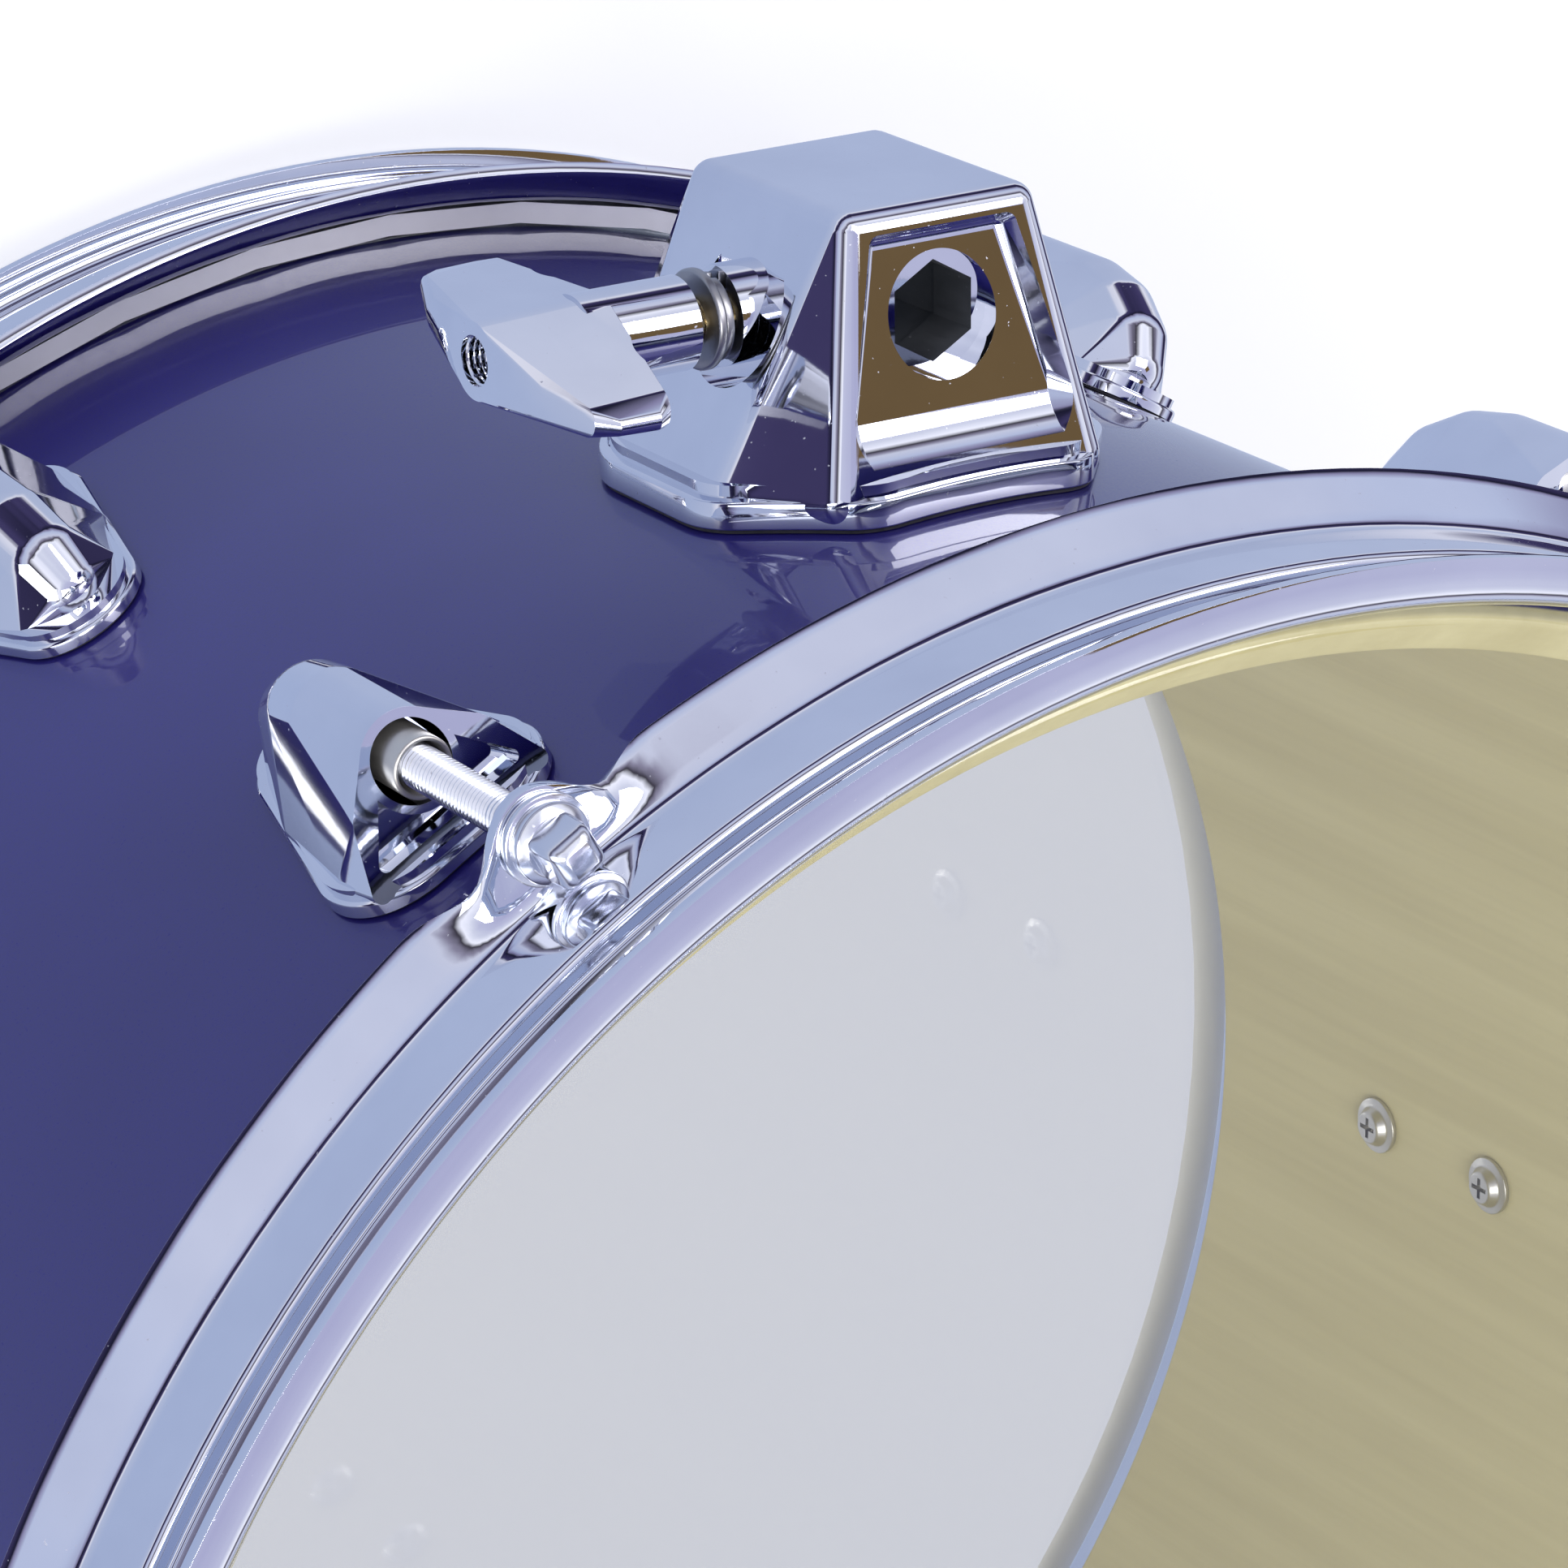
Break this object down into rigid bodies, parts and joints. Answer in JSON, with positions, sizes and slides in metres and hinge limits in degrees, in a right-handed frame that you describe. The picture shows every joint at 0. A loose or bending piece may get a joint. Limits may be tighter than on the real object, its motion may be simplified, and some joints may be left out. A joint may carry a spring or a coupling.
{
  "type": "rack tom drum",
  "caption": "Mounted rack tom of a drum kit: lacquered cylindrical shell, clear heads, triple-flanged hoops, lugs with tension rods, and a clamping mount bracket with a wing bolt.",
  "frame": {"origin": "middle of the foot of the part's box, in the plane that the resonant hoop's rim stands on; the drum's axis is 12.55 mm behind it, on +Y", "axes": "+Z along the drum's axis towards the batter head, -Y towards the mount bracket, +X along the wing bolt"},
  "size_m": [0.3652, 0.3768, 0.2332],
  "materials": {
    "violet_lacquer": "gloss lacquer",
    "chrome": "polished",
    "zinc_plate": "zinc plated",
    "aluminium": "satin",
    "clear_film": "clear gloss",
    "rubber": "matt"
  },
  "bodies": {
    "drum": {"shell": "violet_lacquer", "batter_hoop": "chrome", "resonant_hoop": "chrome", "batter_head": "clear_film", "resonant_head": "clear_film", "batter_flesh_hoop": "aluminium", "resonant_flesh_hoop": "aluminium", "lug_batter_1": "chrome", "lug_nut_batter_1": "zinc_plate", "lug_batter_2": "chrome", "lug_nut_batter_2": "zinc_plate", "lug_batter_3": "chrome", "lug_nut_batter_3": "zinc_plate", "lug_batter_4": "chrome", "lug_nut_batter_4": "zinc_plate", "lug_batter_5": "chrome", "lug_nut_batter_5": "zinc_plate", "lug_batter_6": "chrome", "lug_nut_batter_6": "zinc_plate", "lug_resonant_1": "chrome", "lug_nut_resonant_1": "zinc_plate", "lug_resonant_2": "chrome", "lug_nut_resonant_2": "zinc_plate", "lug_resonant_3": "chrome", "lug_nut_resonant_3": "zinc_plate", "lug_resonant_4": "chrome", "lug_nut_resonant_4": "zinc_plate", "lug_resonant_5": "chrome", "lug_nut_resonant_5": "zinc_plate", "lug_resonant_6": "chrome", "lug_nut_resonant_6": "zinc_plate", "mount_bracket": "chrome", "mount_gasket": "rubber", "spring_washer": "zinc_plate", "flat_washer": "zinc_plate", "vent_grommet": "chrome", "bracket_screw_1": "zinc_plate", "bracket_screw_2": "zinc_plate", "bracket_screw_3": "zinc_plate", "bracket_screw_4": "zinc_plate"},
    "tension_rod_batter_1": {"tension_rod_batter_1": "chrome"},
    "tension_rod_batter_2": {"tension_rod_batter_2": "chrome"},
    "tension_rod_batter_3": {"tension_rod_batter_3": "chrome"},
    "tension_rod_batter_4": {"tension_rod_batter_4": "chrome"},
    "tension_rod_batter_5": {"tension_rod_batter_5": "chrome"},
    "tension_rod_batter_6": {"tension_rod_batter_6": "chrome"},
    "tension_rod_resonant_1": {"tension_rod_resonant_1": "chrome"},
    "tension_rod_resonant_2": {"tension_rod_resonant_2": "chrome"},
    "tension_rod_resonant_3": {"tension_rod_resonant_3": "chrome"},
    "tension_rod_resonant_4": {"tension_rod_resonant_4": "chrome"},
    "tension_rod_resonant_5": {"tension_rod_resonant_5": "chrome"},
    "tension_rod_resonant_6": {"tension_rod_resonant_6": "chrome"},
    "wing_bolt": {"wing_bolt": "chrome"},
    "clamp_jaw": {"clamp_jaw": "zinc_plate"}
  },
  "joints": [
    {"name": "tension_rod_batter_1_turn", "type": "hinge", "parent": "drum", "child": "tension_rod_batter_1", "pos_m": [0.08815, -0.14013, 0.2048], "axis": [0, 0, 1], "range_deg": [-360, 360]},
    {"name": "tension_rod_batter_2_turn", "type": "hinge", "parent": "drum", "child": "tension_rod_batter_2", "pos_m": [0.1763, 0.01255, 0.2048], "axis": [0, 0, 1], "range_deg": [-360, 360]},
    {"name": "tension_rod_batter_3_turn", "type": "hinge", "parent": "drum", "child": "tension_rod_batter_3", "pos_m": [0.08815, 0.16523, 0.2048], "axis": [0, 0, 1], "range_deg": [-360, 360]},
    {"name": "tension_rod_batter_4_turn", "type": "hinge", "parent": "drum", "child": "tension_rod_batter_4", "pos_m": [-0.08815, 0.16523, 0.2048], "axis": [0, 0, 1], "range_deg": [-360, 360]},
    {"name": "tension_rod_batter_5_turn", "type": "hinge", "parent": "drum", "child": "tension_rod_batter_5", "pos_m": [-0.1763, 0.01255, 0.2048], "axis": [0, 0, 1], "range_deg": [-360, 360]},
    {"name": "tension_rod_batter_6_turn", "type": "hinge", "parent": "drum", "child": "tension_rod_batter_6", "pos_m": [-0.08815, -0.14013, 0.2048], "axis": [0, 0, 1], "range_deg": [-360, 360]},
    {"name": "tension_rod_resonant_1_turn", "type": "hinge", "parent": "drum", "child": "tension_rod_resonant_1", "pos_m": [0.08815, -0.14013, 0.0284], "axis": [0, 0, -1], "range_deg": [-360, 360]},
    {"name": "tension_rod_resonant_2_turn", "type": "hinge", "parent": "drum", "child": "tension_rod_resonant_2", "pos_m": [0.1763, 0.01255, 0.0284], "axis": [0, 0, -1], "range_deg": [-360, 360]},
    {"name": "tension_rod_resonant_3_turn", "type": "hinge", "parent": "drum", "child": "tension_rod_resonant_3", "pos_m": [0.08815, 0.16523, 0.0284], "axis": [0, 0, -1], "range_deg": [-360, 360]},
    {"name": "tension_rod_resonant_4_turn", "type": "hinge", "parent": "drum", "child": "tension_rod_resonant_4", "pos_m": [-0.08815, 0.16523, 0.0284], "axis": [0, 0, -1], "range_deg": [-360, 360]},
    {"name": "tension_rod_resonant_5_turn", "type": "hinge", "parent": "drum", "child": "tension_rod_resonant_5", "pos_m": [-0.1763, 0.01255, 0.0284], "axis": [0, 0, -1], "range_deg": [-360, 360]},
    {"name": "tension_rod_resonant_6_turn", "type": "hinge", "parent": "drum", "child": "tension_rod_resonant_6", "pos_m": [-0.08815, -0.14013, 0.0284], "axis": [0, 0, -1], "range_deg": [-360, 360]},
    {"name": "wing_bolt_turn", "type": "hinge", "parent": "drum", "child": "wing_bolt", "pos_m": [0, -0.17395, 0.145], "axis": [1, 0, 0], "range_deg": [-450, 450]},
    {"name": "clamp_jaw_slide", "type": "slide", "parent": "drum", "child": "clamp_jaw", "axis": [1, 0, 0], "range_m": [-0.00125, 0.00125]}
  ],
  "couplings": [
    {"joint": "clamp_jaw_slide", "follows": "wing_bolt_turn", "m_per_rad": -0.00015915}
  ]
}
